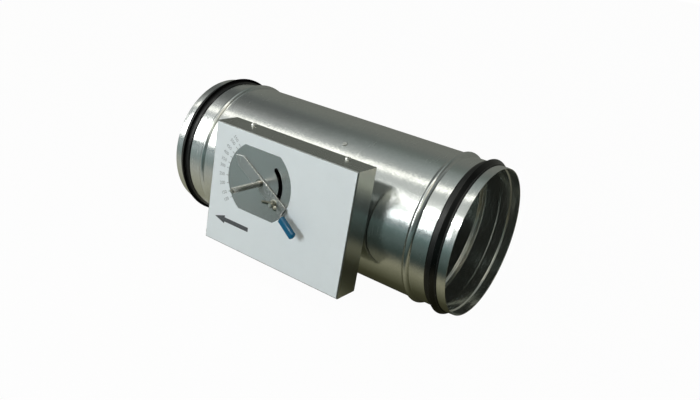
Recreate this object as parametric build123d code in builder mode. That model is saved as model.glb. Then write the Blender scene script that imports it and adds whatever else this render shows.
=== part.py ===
from build123d import *
from math import asin, cos, degrees, radians, sin, sqrt
import os

os.makedirs("parts", exist_ok=True)

# Constant airflow regulator. Origin: centre of the inlet mouth, +X out of the inlet, -Y control side, +Z up.

# Duct casing: one rolled tube with a spigot at each end
casing_length = 364.0
body_r = 80.0
spigot_step = 1.0
casing_sheet = 0.7
insertion_depth = 40.0
bead_width = 7.5
bead_height = 2.6
rim_length = 10.0
groove_width = 12.8
groove_depth = 1.5
groove_flank = 0.7

# Lip seals
lip_height = 4.4
lip_thickness = 1.3
lip_lean = 4.0
lip_inset = 0.5
band_rise = 0.9
seal_gap = 0.05

# Blade shaft, measured from mid length and from the duct axis
shaft_r = 3.0
shaft_offset = -22.8
shaft_z = 16.7
shaft_reach = 42.0
shaft_chamfer = 0.5
mark_width = 1.2
mark_depth = 2.0
running_gap = 0.05
fixed_gap = 0.02
shaft_end_gap = 0.3

# Damper blade
blade_gap = 2.3
blade_side_trim = 2.0
blade_sheet = 1.2
blade_rest_angle = 10.0
blade_travel = 68.0
strap_width = 14.0
strap_length = 28.0
strap_centres_length = 90.0
strap_sheet = 1.2
blade_rivet_r = 1.6
blade_rivet_centres_length = 19.0

# Shaft bushes
bush_shank_r = 5.0
bush_flange_r = 7.0
bush_flange = 1.5
bush_fit = 0.1

# Base plate and control cover
plate_gap = 0.3
plate_sheet = 1.0
plate_flange = 13.0
cover_width = 181.2
cover_height = 132.0
cover_drop = 1.0
cover_depth = 30.0
cover_sheet = 1.0
cover_standoff = 2.5
cover_fit = 0.2
cover_bend_r = 1.2
label_sheet = 0.25
label_margin = 1.2
window_r = 42.2
window_height = 70.4
window_lead = 2.2
window_drop = 0.7

# Fasteners
plate_rivet_r = 2.0
plate_rivet_inset = 9.0
plate_rivet_centres_length = 24.0
cover_screw_r = 1.7
cover_screw_centres_length = 122.0
cover_screw_inset = 6.5
fastener_fit = 0.1
plug_r = 1.5
plug_offset = 27.5
plug_angle = 54.0

# Viscous damper round the shaft
damper_r = 17.0
damper_depth = 8.0
damper_wall = 1.5
damper_hub_r = 5.0
damper_play = 0.8
lug_r = 4.5
lug_reach = 21.5
lug_angles = (115.0, 295.0)
damper_screw_r = 1.5

# Spring crank, stops and torsion spring
crank_angle = 60.0
crank_hub_r = 6.5
crank_hub_length = 5.0
crank_flange_r = 12.0
crank_sheet = 2.0
crank_arm_width = 8.0
crank_arm_reach = 25.0
stop_r = 2.0
stop_reach = 22.0
stop_gap = 0.3
crank_screw_r = 1.5
spring_r = 9.5
spring_wire = 1.4
spring_turns = 2.5
spring_pitch = 3.1
leg_fit = 0.1

# Setting lever, its hub, clamp bolt and wing nut
lever_angle = -30.0
lever_width = 12.4
lever_sheet = 1.5
lever_play = 0.3
pointer_reach = 41.5
pointer_length = 9.0
lever_bend = 40.6
lever_bend_r = 3.0
tail_start = 43.4
tail_rise = 8.2
tail_length = 24.0
tail_slope = 8.0
tail_width = 4.4
grip_width = 7.4
grip_depth = 5.2
grip_end = 2.0
grip_fit = 0.05
hub_neck_r = 5.0
hub_body_r = 7.0
hub_flange_r = 13.0
hub_flange = 2.0
clamp_radius = 26.2
clamp_lag = 4.0
bolt_r = 2.0
bolt_head_r = 4.5
bolt_head = 2.2
bolt_fit = 0.15
bolt_stick = 1.6
slot_width = 5.4
slot_low = -45.0
slot_high = 47.0
washer_r = 4.8
washer_sheet = 0.8
nut_r = 4.0
nut_height = 4.0
wing_sheet = 1.9
wing_reach = 10.0
wing_rise = 8.6
wing_tip_r = 2.1
nut_angle = -10.0

# Places that follow from the sizes above
mid_x = -casing_length / 2
spigot_r = body_r - spigot_step
shaft_x = mid_x + shaft_offset
bore_r = body_r - casing_sheet
plate_back = body_r + plate_gap
plate_front = plate_back + plate_sheet
cover_back = body_r + cover_standoff
cover_front = cover_back + cover_depth
cover_inside = cover_front - cover_sheet
cover_top = cover_height / 2 - cover_drop
cover_bottom = cover_top - cover_height
lever_back = cover_front + lever_play
lever_front = lever_back + lever_sheet
washer_front = lever_front + washer_sheet
nut_front = washer_front + nut_height
screw_depth = cover_back + cover_screw_inset
plate_width = cover_width - 2 * (cover_sheet + cover_fit)
plate_height = cover_height - 2 * (cover_sheet + cover_fit)
rivet_far = plate_width / 2 - plate_rivet_inset
rivet_near = rivet_far - plate_rivet_centres_length
plate_rivet_xs = (-rivet_far, -rivet_near, rivet_near, rivet_far)
cover_screw_xs = (-cover_screw_centres_length / 2, cover_screw_centres_length / 2)


def front(depth, turn=0.0):
    """Plane across the shaft at a distance from the duct axis, facing out of the panel."""
    run = (cos(radians(turn)), 0, sin(radians(turn)))
    return Plane(origin=(shaft_x, -depth, shaft_z), x_dir=run, z_dir=(0, -1, 0))


def face(depth):
    """Plane parallel to the panel at a distance from the duct axis, centred on the duct's mid length."""
    return Plane(origin=(mid_x, -depth, 0), x_dir=(1, 0, 0), z_dir=(0, -1, 0))


def panel(depth):
    """Plane parallel to the panel at a distance from the duct axis, centred on the control box."""
    return Plane(origin=(mid_x, -depth, -cover_drop), x_dir=(1, 0, 0), z_dir=(0, -1, 0))


def along(radius, turn):
    """Point at a radius and an angle, as a pair."""
    return (radius * cos(radians(turn)), radius * sin(radians(turn)))


# Casing wall: rim, seal groove, spigot, stop bead and body, then the same again to the outlet
groove_end = rim_length + groove_width
bead_end = insertion_depth + bead_width
bead_top_r = body_r + bead_height
groove_r = spigot_r - groove_depth
with BuildPart() as casing:
    with BuildSketch(Plane.XZ) as wall:
        with BuildLine() as sheet_line:
            rim = Polyline(
                (0, spigot_r),
                (-rim_length, spigot_r),
                (-rim_length - groove_flank, groove_r),
                (-groove_end + groove_flank, groove_r),
                (-groove_end, spigot_r),
                (-insertion_depth, spigot_r),
            )
            bead = ThreePointArc(
                (-insertion_depth, spigot_r),
                (-insertion_depth - bead_width / 2, bead_top_r),
                (-bead_end, body_r),
            )
            barrel = Line((-bead_end, body_r), (mid_x, body_r))
            mirror([rim, bead, barrel], about=Plane.YZ.offset(mid_x))
            offset(amount=casing_sheet, side=Side.LEFT, kind=Kind.INTERSECTION)
        make_face()
    revolve(axis=Axis.X)
    with BuildSketch(front(body_r * 0.7)):
        Circle(bush_shank_r + bush_fit)
    extrude(amount=body_r * 0.4, mode=Mode.SUBTRACT)
    with BuildSketch(front(-body_r * 0.7)):
        Circle(bush_shank_r + bush_fit)
    extrude(amount=-body_r * 0.4, mode=Mode.SUBTRACT)
    with BuildSketch(face(body_r * 0.7)):
        with Locations([(x, 0) for x in plate_rivet_xs]):
            Circle(plate_rivet_r + fastener_fit)
    extrude(amount=body_r * 0.4, mode=Mode.SUBTRACT)
    plug_out = (0, -cos(radians(plug_angle)), sin(radians(plug_angle)))
    plug_place = (mid_x + plug_offset, plug_out[1] * body_r, plug_out[2] * body_r)
    plug_foot = Plane(origin=plug_place, x_dir=(1, 0, 0), z_dir=plug_out)
    with BuildSketch(plug_foot):
        Circle(plug_r + fastener_fit)
    extrude(amount=body_r * 0.2, both=True, mode=Mode.SUBTRACT)
casing.part.label = "duct_casing"
export_step(casing.part, "parts/duct_casing.step")

# Lip seals: a base band in the groove and a lip that leans away from the rim
seal_foot_r = groove_r + seal_gap
band_r = spigot_r + band_rise
seal_lip_r = spigot_r + lip_height
band_start = rim_length + groove_flank + seal_gap
band_end = groove_end - groove_flank - seal_gap
lip_foot = band_start + lip_inset
with BuildPart() as inlet_seal:
    with BuildSketch(Plane.XZ):
        with BuildLine():
            Polyline(
                (-band_start, seal_foot_r),
                (-band_start, band_r),
                (-lip_foot, band_r),
                (-lip_foot - lip_lean, seal_lip_r),
                (-lip_foot - lip_lean - lip_thickness, seal_lip_r),
                (-lip_foot - lip_thickness * 2, band_r),
                (-band_end, band_r),
                (-band_end, seal_foot_r),
                close=True,
            )
        make_face()
    revolve(axis=Axis.X)
with BuildPart() as outlet_seal:
    mirror(inlet_seal.part, about=Plane.YZ.offset(mid_x))
inlet_seal.part.label = "inlet_seal"
export_step(inlet_seal.part, "parts/inlet_seal.step")
outlet_seal.part.label = "outlet_seal"
export_step(outlet_seal.part, "parts/outlet_seal.step")

# Blade shaft: a straight rod from the rear bush to its free end, with a cross mark for the blade's position
bush_nose = sqrt(bore_r**2 - (shaft_z + bush_shank_r) ** 2)
rear_face = body_r + bush_flange
shaft_back = rear_face - bush_flange
shaft_tip = cover_front + shaft_reach
mark_turn = -blade_rest_angle
with BuildPart() as shaft:
    with BuildSketch(front(-shaft_back)):
        Circle(shaft_r)
    extrude(amount=shaft_back + shaft_tip)
    chamfer(shaft.edges().filter_by(GeomType.CIRCLE), shaft_chamfer)
    with BuildSketch(front(shaft_tip, mark_turn)):
        Rectangle(shaft_r * 3, mark_width)
    extrude(amount=-mark_depth, mode=Mode.SUBTRACT)
shaft.part.label = "blade_shaft"
export_step(shaft.part, "parts/blade_shaft.step")

# Damper blade: a disc hung off centre on the shaft, so that it is central in the duct when shut
blade_r = bore_r - blade_gap
blade_low = shaft_r + fixed_gap
blade_dir = (cos(radians(blade_rest_angle)), 0, -sin(radians(blade_rest_angle)))
blade_up = (sin(radians(blade_rest_angle)), 0, cos(radians(blade_rest_angle)))
blade_plane = Plane(origin=(shaft_x, 0, shaft_z), x_dir=blade_dir, z_dir=blade_up)
blade_side = blade_plane.offset(blade_low)
strap_ys = (-strap_centres_length / 2, strap_centres_length / 2)
blade_rivet_xs = (-blade_rivet_centres_length / 2, blade_rivet_centres_length / 2)
rivet_spots = [(u, v) for v in strap_ys for u in blade_rivet_xs]
with BuildPart() as blade:
    with BuildSketch(blade_side):
        with Locations((shaft_z, 0)):
            Circle(blade_r)
            Rectangle(blade_r * 3, 2 * (blade_r - blade_side_trim), mode=Mode.INTERSECT)
        with Locations(rivet_spots):
            Circle(blade_rivet_r + fastener_fit, mode=Mode.SUBTRACT)
    extrude(amount=blade_sheet)
blade.part.label = "damper_blade"
export_step(blade.part, "parts/damper_blade.step")

# Straps under the blade that hold it to the shaft
strap_plane = Plane(origin=(shaft_x, 0, shaft_z), x_dir=blade_dir, z_dir=(0, -1, 0))
with BuildPart() as straps:
    for v in strap_ys:
        with BuildSketch(strap_plane.offset(v - strap_width / 2)):
            Circle(blade_low + strap_sheet)
            with Locations((0, blade_low - strap_sheet / 2)):
                Rectangle(strap_length, strap_sheet)
            with Locations((0, blade_low + strap_length / 2)):
                Rectangle(strap_length * 2, strap_length, mode=Mode.SUBTRACT)
            with Locations((0, blade_low / 2)):
                Rectangle(2 * blade_low, blade_low, mode=Mode.SUBTRACT)
            Circle(blade_low, mode=Mode.SUBTRACT)
        extrude(amount=strap_width)
    with BuildSketch(blade_side):
        with Locations(rivet_spots):
            Circle(blade_rivet_r + fastener_fit)
    extrude(amount=-2 * strap_sheet, mode=Mode.SUBTRACT)
straps.part.label = "blade_straps"
export_step(straps.part, "parts/blade_straps.step")


def rivets(planes, radius, grip, low=0.0):
    """Rivets with a head on each plane, a shank through the grip and a formed tail behind it."""
    with BuildPart() as group:
        for plane in planes:
            with BuildSketch(plane):
                Circle(radius * 1.9)
            extrude(amount=radius * 0.7, taper=30)
            with BuildSketch(plane):
                Circle(radius)
            extrude(amount=-grip - low)
            with BuildSketch(plane.offset(-grip - low)):
                Circle(radius * 1.5)
            extrude(amount=-radius * 0.7)
    return group


def pan_screws(planes, radius, length):
    """Screws with a slotted pan head on each plane."""
    with BuildPart() as group:
        for plane in planes:
            with BuildSketch(plane):
                Circle(radius * 1.9)
            extrude(amount=radius * 1.1, taper=15)
            with BuildSketch(plane):
                Circle(radius)
            extrude(amount=-length)
            with BuildSketch(plane.offset(radius * 1.1)):
                Rectangle(radius * 4, radius * 0.45)
            extrude(amount=-radius * 0.6, mode=Mode.SUBTRACT)
    return group


def spots(plane, places):
    """Planes at places on a plane, all facing its way."""
    return [Plane(plane * Location((x, y, 0))) for x, y in places]


blade_grip = blade_sheet + strap_sheet
blade_rivets = rivets(spots(blade_side.offset(blade_sheet), rivet_spots), blade_rivet_r, blade_grip)
blade_rivets.part.label = "blade_rivets"
export_step(blade_rivets.part, "parts/blade_rivets.step")

# Bushes that carry the shaft in the casing wall
with BuildPart() as front_bush:
    with BuildSketch(front(plate_front)):
        Circle(bush_flange_r)
    extrude(amount=bush_flange)
    with BuildSketch(front(bush_nose)):
        Circle(bush_shank_r)
    extrude(amount=plate_front - bush_nose)
    with BuildSketch(front(bush_nose)):
        Circle(shaft_r + running_gap)
    extrude(amount=plate_front + bush_flange - bush_nose, mode=Mode.SUBTRACT)
front_bush.part.label = "front_bush"
export_step(front_bush.part, "parts/front_bush.step")

with BuildPart() as rear_bush:
    with BuildSketch(front(-rear_face)):
        Circle(bush_flange_r)
    extrude(amount=rear_face * 0.2)
    with BuildSketch(Plane.YZ.offset(shaft_x - 2 * bush_flange_r)):
        Circle(body_r + bush_fit)
    extrude(amount=4 * bush_flange_r, mode=Mode.SUBTRACT)
    with BuildSketch(front(-rear_face + bush_flange / 2)):
        Circle(bush_shank_r)
    extrude(amount=rear_face - bush_flange / 2 - bush_nose)
    with BuildSketch(front(-bush_nose)):
        Circle(shaft_r + running_gap)
    extrude(amount=-(shaft_back + shaft_end_gap - bush_nose), mode=Mode.SUBTRACT)
rear_bush.part.label = "rear_bush"
export_step(rear_bush.part, "parts/rear_bush.step")

# Stops: the crank arm rests on one when the blade is open and meets the other when it is shut
stop_swing = degrees(asin((crank_arm_width / 2 + stop_r + stop_gap) / stop_reach))
stop_angles = (crank_angle + stop_swing, crank_angle - blade_travel - stop_swing)
stop_spots = [along(stop_reach, turn) for turn in stop_angles]
lug_spots = [along(lug_reach, turn) for turn in lug_angles]

# Base plate: a channel on the casing, with flanges that the cover slides over
with BuildPart() as plate:
    with BuildSketch(panel(plate_back)):
        Rectangle(plate_width, plate_height)
    extrude(amount=plate_flange)
    with BuildSketch(panel(plate_front)):
        Rectangle(plate_width * 2, plate_height - 2 * plate_sheet)
    extrude(amount=plate_flange, mode=Mode.SUBTRACT)
    with BuildSketch(front(plate_back)):
        Circle(bush_shank_r + bush_fit)
        with Locations(stop_spots):
            Circle(stop_r * 0.7 + fastener_fit)
        with Locations(lug_spots):
            Circle(damper_screw_r + fastener_fit)
    extrude(amount=plate_sheet, mode=Mode.SUBTRACT)
    with BuildSketch(face(plate_back)):
        with Locations([(x, 0) for x in plate_rivet_xs]):
            Circle(plate_rivet_r + fastener_fit)
    extrude(amount=plate_sheet, mode=Mode.SUBTRACT)
    with BuildSketch(Plane.XY.offset(-cover_height)):
        with Locations([(mid_x + x, -screw_depth) for x in cover_screw_xs]):
            Circle(cover_screw_r + fastener_fit)
    extrude(amount=cover_height * 2, mode=Mode.SUBTRACT)
plate.part.label = "base_plate"
export_step(plate.part, "parts/base_plate.step")

plate_rivets = rivets(
    spots(face(plate_front), [(x, 0) for x in plate_rivet_xs]),
    plate_rivet_r,
    plate_sheet + plate_gap + casing_sheet,
    fastener_fit,
)
plate_rivets.part.label = "plate_rivets"
export_step(plate_rivets.part, "parts/plate_rivets.step")

casing_plug = rivets([plug_foot], plug_r, casing_sheet, fastener_fit)
casing_plug.part.label = "casing_plug"
export_step(casing_plug.part, "parts/casing_plug.step")

with BuildPart() as stops:
    for x, y in stop_spots:
        with BuildSketch(front(plate_front)):
            with Locations((x, y)):
                Circle(stop_r)
        extrude(amount=cover_depth * 0.5)
        with BuildSketch(front(plate_back)):
            with Locations((x, y)):
                Circle(stop_r * 0.7)
        extrude(amount=plate_sheet)
stops.part.label = "stop_pins"
export_step(stops.part, "parts/stop_pins.step")

# Viscous damper: cup, rotor and lid round the shaft
rotor_r = damper_r - damper_wall - damper_play
rotor_back = plate_front + bush_flange + damper_play
damper_top = plate_front + damper_depth
rotor_sheet = damper_depth - bush_flange - 2 * damper_play
hub_top = damper_top + damper_wall + damper_play
with BuildPart() as damper_cup:
    with BuildSketch(front(plate_front)):
        Circle(damper_r)
    extrude(amount=damper_depth)
    with BuildSketch(front(plate_front)):
        for turn in lug_angles:
            with Locations(along(lug_reach, turn)):
                Circle(lug_r)
            with Locations(Location((*along(lug_reach / 2, turn), 0), (0, 0, turn))):
                Rectangle(lug_reach, 2 * lug_r)
        with Locations(lug_spots):
            Circle(damper_screw_r + fastener_fit, mode=Mode.SUBTRACT)
    extrude(amount=damper_wall)
    with BuildSketch(front(plate_front + damper_wall)):
        Circle(damper_r - damper_wall)
    extrude(amount=damper_depth, mode=Mode.SUBTRACT)
    with BuildSketch(front(plate_front)):
        Circle(bush_flange_r + bush_fit)
    extrude(amount=damper_wall, mode=Mode.SUBTRACT)
damper_cup.part.label = "damper_housing"
export_step(damper_cup.part, "parts/damper_housing.step")

with BuildPart() as damper_rotor:
    with BuildSketch(front(rotor_back)):
        Circle(rotor_r)
    extrude(amount=rotor_sheet)
    with BuildSketch(front(rotor_back)):
        Circle(damper_hub_r)
    extrude(amount=hub_top - rotor_back)
    with BuildSketch(front(rotor_back)):
        Circle(shaft_r + fixed_gap)
    extrude(amount=hub_top - rotor_back, mode=Mode.SUBTRACT)
damper_rotor.part.label = "damper_rotor"
export_step(damper_rotor.part, "parts/damper_rotor.step")

with BuildPart() as damper_lid:
    with BuildSketch(front(damper_top)):
        Circle(damper_r)
        Circle(damper_hub_r + damper_play / 2, mode=Mode.SUBTRACT)
    extrude(amount=damper_wall)
damper_lid.part.label = "damper_lid"
export_step(damper_lid.part, "parts/damper_lid.step")

lug_face = front(plate_front + damper_wall)
damper_screws = pan_screws(spots(lug_face, lug_spots), damper_screw_r, damper_wall + plate_sheet)
damper_screws.part.label = "damper_screws"
export_step(damper_screws.part, "parts/damper_screws.step")

# Spring crank: hub, flange and an arm that swings between the stops
crank_back = hub_top + fixed_gap
crank_front = crank_back + crank_sheet
crank_top = crank_front + crank_hub_length
leg_angle = crank_angle + 180
with BuildPart() as crank:
    with BuildSketch(front(crank_back, crank_angle)):
        Circle(crank_flange_r)
        with Locations((crank_arm_reach / 2, 0)):
            Rectangle(crank_arm_reach, crank_arm_width)
        with Locations((-spring_r, 0)):
            Circle(spring_wire / 2 + leg_fit, mode=Mode.SUBTRACT)
    extrude(amount=crank_sheet)
    with BuildSketch(front(crank_front)):
        Circle(crank_hub_r)
    extrude(amount=crank_hub_length)
    with BuildSketch(front(crank_back)):
        Circle(shaft_r + fixed_gap)
    extrude(amount=crank_sheet + crank_hub_length, mode=Mode.SUBTRACT)
    screw_side = Plane(
        origin=(shaft_x, -(crank_front + crank_hub_length / 2), shaft_z), x_dir=(0, 1, 0), z_dir=blade_up
    )
    with BuildSketch(screw_side):
        Circle(crank_screw_r + fixed_gap)
    extrude(amount=crank_hub_r * 2, mode=Mode.SUBTRACT)
crank.part.label = "spring_crank"
export_step(crank.part, "parts/spring_crank.step")

with BuildPart() as crank_screw:
    with BuildSketch(screw_side.offset(shaft_r + fixed_gap)):
        Circle(crank_screw_r)
    extrude(amount=crank_hub_r - shaft_r - 2 * fixed_gap)
crank_screw.part.label = "crank_screw"
export_step(crank_screw.part, "parts/crank_screw.step")

# Torsion spring between the crank and the setting hub, with a leg along the shaft at each end
coil_start = crank_front + spring_wire
coil_height = spring_turns * spring_pitch
coil_end = coil_start + coil_height
hub_back = coil_end + spring_wire
end_angle = leg_angle + 360 * spring_turns
leg_out = (cos(radians(leg_angle)), 0, sin(radians(leg_angle)))
coil = front(coil_start, leg_angle) * Helix(pitch=spring_pitch, height=coil_height, radius=spring_r)
with BuildPart() as spring:
    with BuildSketch(Plane(origin=coil @ 0, x_dir=leg_out, z_dir=coil % 0)):
        Rectangle(spring_wire, spring_wire)
    sweep(path=coil, is_frenet=True)
    with BuildSketch(front(crank_back, leg_angle)):
        with Locations((spring_r, 0)):
            Circle(spring_wire / 2)
    extrude(amount=coil_start - crank_back)
    with BuildSketch(front(coil_end, end_angle)):
        with Locations((spring_r, 0)):
            Circle(spring_wire / 2)
    extrude(amount=spring_wire + hub_flange)
spring.part.label = "torsion_spring"
export_step(spring.part, "parts/torsion_spring.step")

# Setting hub: turns in the cover, holds the spring's outer leg and carries the lever
with BuildPart() as hub:
    with BuildSketch(front(hub_back)):
        Circle(hub_flange_r)
        with Locations(along(spring_r, end_angle)):
            Circle(spring_wire / 2 + leg_fit, mode=Mode.SUBTRACT)
    extrude(amount=hub_flange)
    with BuildSketch(front(hub_back + hub_flange)):
        Circle(hub_body_r)
    extrude(amount=cover_inside - cover_fit - hub_back - hub_flange)
    with BuildSketch(front(cover_inside - cover_fit)):
        Circle(hub_neck_r)
    extrude(amount=lever_front - cover_inside + cover_fit)
    with BuildSketch(front(hub_back)):
        Circle(shaft_r + 2 * running_gap)
    extrude(amount=lever_front - hub_back, mode=Mode.SUBTRACT)
hub.part.label = "setting_hub"
export_step(hub.part, "parts/setting_hub.step")

# Control cover: a folded tray with the hub hole and the curved clamp slot
slot_path = CenterArc((0, 0), clamp_radius, slot_low, slot_high - slot_low)
with BuildPart() as cover:
    with BuildSketch(panel(cover_back)):
        Rectangle(cover_width, cover_height)
    extrude(amount=cover_depth)
    fillet(cover.faces().sort_by(Axis.Y)[0].edges(), cover_bend_r)
    with BuildSketch(panel(cover_back)):
        Rectangle(cover_width - 2 * cover_sheet, cover_height - 2 * cover_sheet)
    extrude(amount=cover_depth - cover_sheet, mode=Mode.SUBTRACT)
    with BuildSketch(front(cover_inside)):
        Circle(hub_neck_r + bush_fit)
        SlotArc(slot_path, slot_width)
    extrude(amount=cover_sheet, mode=Mode.SUBTRACT)
    with BuildSketch(Plane.XY.offset(-cover_height)):
        with Locations([(mid_x + x, -screw_depth) for x in cover_screw_xs]):
            Circle(cover_screw_r + fastener_fit)
    extrude(amount=cover_height * 2, mode=Mode.SUBTRACT)
cover.part.label = "control_cover"
export_step(cover.part, "parts/control_cover.step")

screw_top = Plane(origin=(mid_x, -screw_depth, cover_top), x_dir=(1, 0, 0), z_dir=(0, 0, 1))
screw_bottom = Plane(origin=(mid_x, -screw_depth, cover_bottom), x_dir=(1, 0, 0), z_dir=(0, 0, -1))
screw_places = [(x, 0) for x in cover_screw_xs]
cover_screws = pan_screws(
    spots(screw_top, screw_places) + spots(screw_bottom, screw_places), cover_screw_r, cover_screw_inset
)
cover_screws.part.label = "cover_screws"
export_step(cover_screws.part, "parts/cover_screws.step")

# Scale label: covers the panel except for a window round the lever
with BuildPart() as label:
    with BuildSketch(panel(cover_front)):
        Rectangle(cover_width - 2 * label_margin, cover_height - 2 * label_margin)
        with BuildSketch(mode=Mode.PRIVATE) as window:
            Circle(window_r)
            Rectangle(window_r * 3, window_height, mode=Mode.INTERSECT)
        with Locations((shaft_offset - window_lead, shaft_z - window_drop + cover_drop)):
            add(window.sketch, mode=Mode.SUBTRACT)
    extrude(amount=label_sheet)
label.part.label = "scale_label"
export_step(label.part, "parts/scale_label.step")

# Setting lever: a flat pointer, a joggle and a narrow tail, cut from one strip
lever_side = Plane(front(lever_back, lever_angle) * Location((0, 0, 0), (90, 0, 0)))
tail_end = tail_start + tail_length * cos(radians(tail_slope))
tail_tip_rise = tail_rise + tail_length * sin(radians(tail_slope))
with BuildPart() as lever:
    with BuildSketch(lever_side):
        with BuildLine():
            FilletPolyline(
                (-pointer_reach, 0),
                (lever_bend, 0),
                (tail_start, tail_rise),
                (tail_end, tail_tip_rise),
                radius=lever_bend_r,
            )
            offset(amount=lever_sheet, side=Side.LEFT)
        make_face()
    extrude(amount=lever_width, both=True)
    with BuildSketch(front(lever_back, lever_angle)):
        with BuildLine():
            Polyline(
                (-pointer_reach, 0),
                (-pointer_reach + pointer_length, lever_width / 2),
                (lever_bend, lever_width / 2),
                (tail_start, tail_width / 2),
                (tail_end * 1.2, tail_width / 2),
                (tail_end * 1.2, -tail_width / 2),
                (tail_start, -tail_width / 2),
                (lever_bend, -lever_width / 2),
                (-pointer_reach + pointer_length, -lever_width / 2),
                close=True,
            )
        make_face()
        Circle(hub_neck_r + fixed_gap, mode=Mode.SUBTRACT)
        with Locations(along(clamp_radius, -clamp_lag)):
            Circle(bolt_r + bolt_fit, mode=Mode.SUBTRACT)
    extrude(amount=tail_tip_rise * 2, mode=Mode.INTERSECT)
lever.part.label = "setting_lever"
export_step(lever.part, "parts/setting_lever.step")

# Grip: a soft sleeve over the lever's tail
grip_mid = Plane(lever_side * Location((tail_start, tail_rise, 0), (0, 0, tail_slope)))
with BuildPart() as grip:
    with BuildSketch(grip_mid):
        with Locations((tail_length / 2 + grip_end, lever_sheet / 2)):
            Rectangle(tail_length, grip_depth)
    extrude(amount=grip_width / 2, both=True)
    fillet(grip.edges().filter_by(Axis((0, 0, 0), grip_mid.x_dir)), grip_depth * 0.35)
    fillet(grip.faces().sort_by(Axis((0, 0, 0), grip_mid.x_dir))[-1].edges(), grip_depth * 0.2)
    with BuildSketch(grip_mid):
        with Locations((tail_length / 2, lever_sheet / 2)):
            Rectangle(tail_length + 2 * grip_fit, lever_sheet + 2 * grip_fit)
    extrude(amount=tail_width / 2 + grip_fit, both=True, mode=Mode.SUBTRACT)
grip.part.label = "lever_grip"
export_step(grip.part, "parts/lever_grip.step")

# Clamp bolt, washer and wing nut that lock the lever on the slot
bolt_spot = along(clamp_radius, lever_angle - clamp_lag)
bolt_back = cover_inside - cover_fit - bolt_head
with BuildPart() as bolt:
    with BuildSketch(front(bolt_back)):
        with Locations(bolt_spot):
            Circle(bolt_head_r)
    extrude(amount=bolt_head)
    with BuildSketch(front(bolt_back)):
        with Locations(bolt_spot):
            Circle(bolt_r)
    extrude(amount=nut_front + bolt_stick - bolt_back)
bolt.part.label = "clamp_bolt"
export_step(bolt.part, "parts/clamp_bolt.step")

with BuildPart() as washer:
    with BuildSketch(front(lever_front)):
        with Locations(bolt_spot):
            Circle(washer_r)
            Circle(bolt_r + bolt_fit, mode=Mode.SUBTRACT)
    extrude(amount=washer_sheet)
washer.part.label = "clamp_washer"
export_step(washer.part, "parts/clamp_washer.step")

nut_base = Plane(front(washer_front) * Location((*bolt_spot, 0), (0, 0, nut_angle)))
wing_side = Plane(nut_base * Location((0, 0, 0), (90, 0, 0)))
with BuildPart() as nut:
    with BuildSketch(nut_base):
        Circle(nut_r)
    extrude(amount=nut_height, taper=6)
    for way in (-1, 1):
        with BuildSketch(wing_side):
            with Locations((way * (wing_reach - wing_tip_r), wing_rise - wing_tip_r)):
                Circle(wing_tip_r)
            with Locations((way * nut_r * 0.75, nut_height * 0.5)):
                Circle(nut_height * 0.42)
            make_hull()
        extrude(amount=wing_sheet / 2, both=True)
    with BuildSketch(nut_base):
        Circle(bolt_r + running_gap)
    extrude(amount=nut_height * 3, mode=Mode.SUBTRACT)
nut.part.label = "wing_nut"
export_step(nut.part, "parts/wing_nut.step")
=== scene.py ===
from math import pi

import bmesh
import bpy
import numpy as np
from mathutils import Matrix, Vector


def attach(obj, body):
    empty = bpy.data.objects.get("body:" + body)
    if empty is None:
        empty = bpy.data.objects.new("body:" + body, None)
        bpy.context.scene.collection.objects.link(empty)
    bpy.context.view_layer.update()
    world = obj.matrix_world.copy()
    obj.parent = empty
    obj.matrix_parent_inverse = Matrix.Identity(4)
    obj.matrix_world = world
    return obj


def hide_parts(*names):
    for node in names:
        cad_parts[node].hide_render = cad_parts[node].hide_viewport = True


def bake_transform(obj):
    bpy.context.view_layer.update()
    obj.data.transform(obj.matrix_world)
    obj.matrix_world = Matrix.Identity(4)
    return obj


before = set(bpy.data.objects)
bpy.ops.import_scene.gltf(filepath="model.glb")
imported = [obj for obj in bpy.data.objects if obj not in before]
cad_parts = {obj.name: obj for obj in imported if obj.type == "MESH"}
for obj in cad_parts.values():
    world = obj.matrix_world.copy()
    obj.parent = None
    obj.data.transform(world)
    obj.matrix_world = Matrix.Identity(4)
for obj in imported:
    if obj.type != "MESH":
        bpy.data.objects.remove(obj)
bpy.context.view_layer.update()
MM = 0.001

# Sizes that the new pieces share with the solids, in millimetres
LENGTH = 364.0
MID = -LENGTH / 2
BODY_R = 80.0
SPIGOT_R = 79.0
SHEET = 0.7
GROOVE_R = 77.5
RIM_DRAW = 0.3
INSERTION, BEAD_END, BEAD_HEIGHT = 40.0, 47.5, 2.6
SHAFT_X = MID - 22.8
SHAFT_Z = 16.7
LABEL_FRONT = 112.75
LEVER_TURN = np.radians(-30.0)
LEVER_WAY = (float(np.cos(LEVER_TURN)), float(np.sin(LEVER_TURN)))


# ---------------------------------------------------------------- meshes

def mesh_piece(name, points, corners):
    """One mesh object from an array of points and an array of faces that all have the same number of corners."""
    mesh = bpy.data.meshes.new(name)
    count, sides = corners.shape
    mesh.vertices.add(len(points))
    mesh.vertices.foreach_set("co", (points * MM).astype(np.float32).ravel())
    mesh.loops.add(count * sides)
    mesh.loops.foreach_set("vertex_index", corners.astype(np.int32).ravel())
    mesh.polygons.add(count)
    mesh.polygons.foreach_set("loop_start", np.arange(0, count * sides, sides, dtype=np.int32))
    mesh.polygons.foreach_set("use_smooth", np.ones(count, dtype=bool))
    mesh.update(calc_edges=True)
    mesh.validate()
    piece = bpy.data.objects.new(name, mesh)
    bpy.context.collection.objects.link(piece)
    return piece


def grid_faces(rows, columns, wrap_rows, wrap_columns):
    """Four-sided faces of a grid: each joins a point to the next one along the row and along the column."""
    i, j = np.meshgrid(
        np.arange(rows if wrap_rows else rows - 1),
        np.arange(columns if wrap_columns else columns - 1),
        indexing="ij",
    )
    ni, nj = (i + 1) % rows, (j + 1) % columns
    faces = np.stack([i * columns + j, ni * columns + j, ni * columns + nj, i * columns + nj], axis=-1)
    return faces.reshape(-1, 4)


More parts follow.
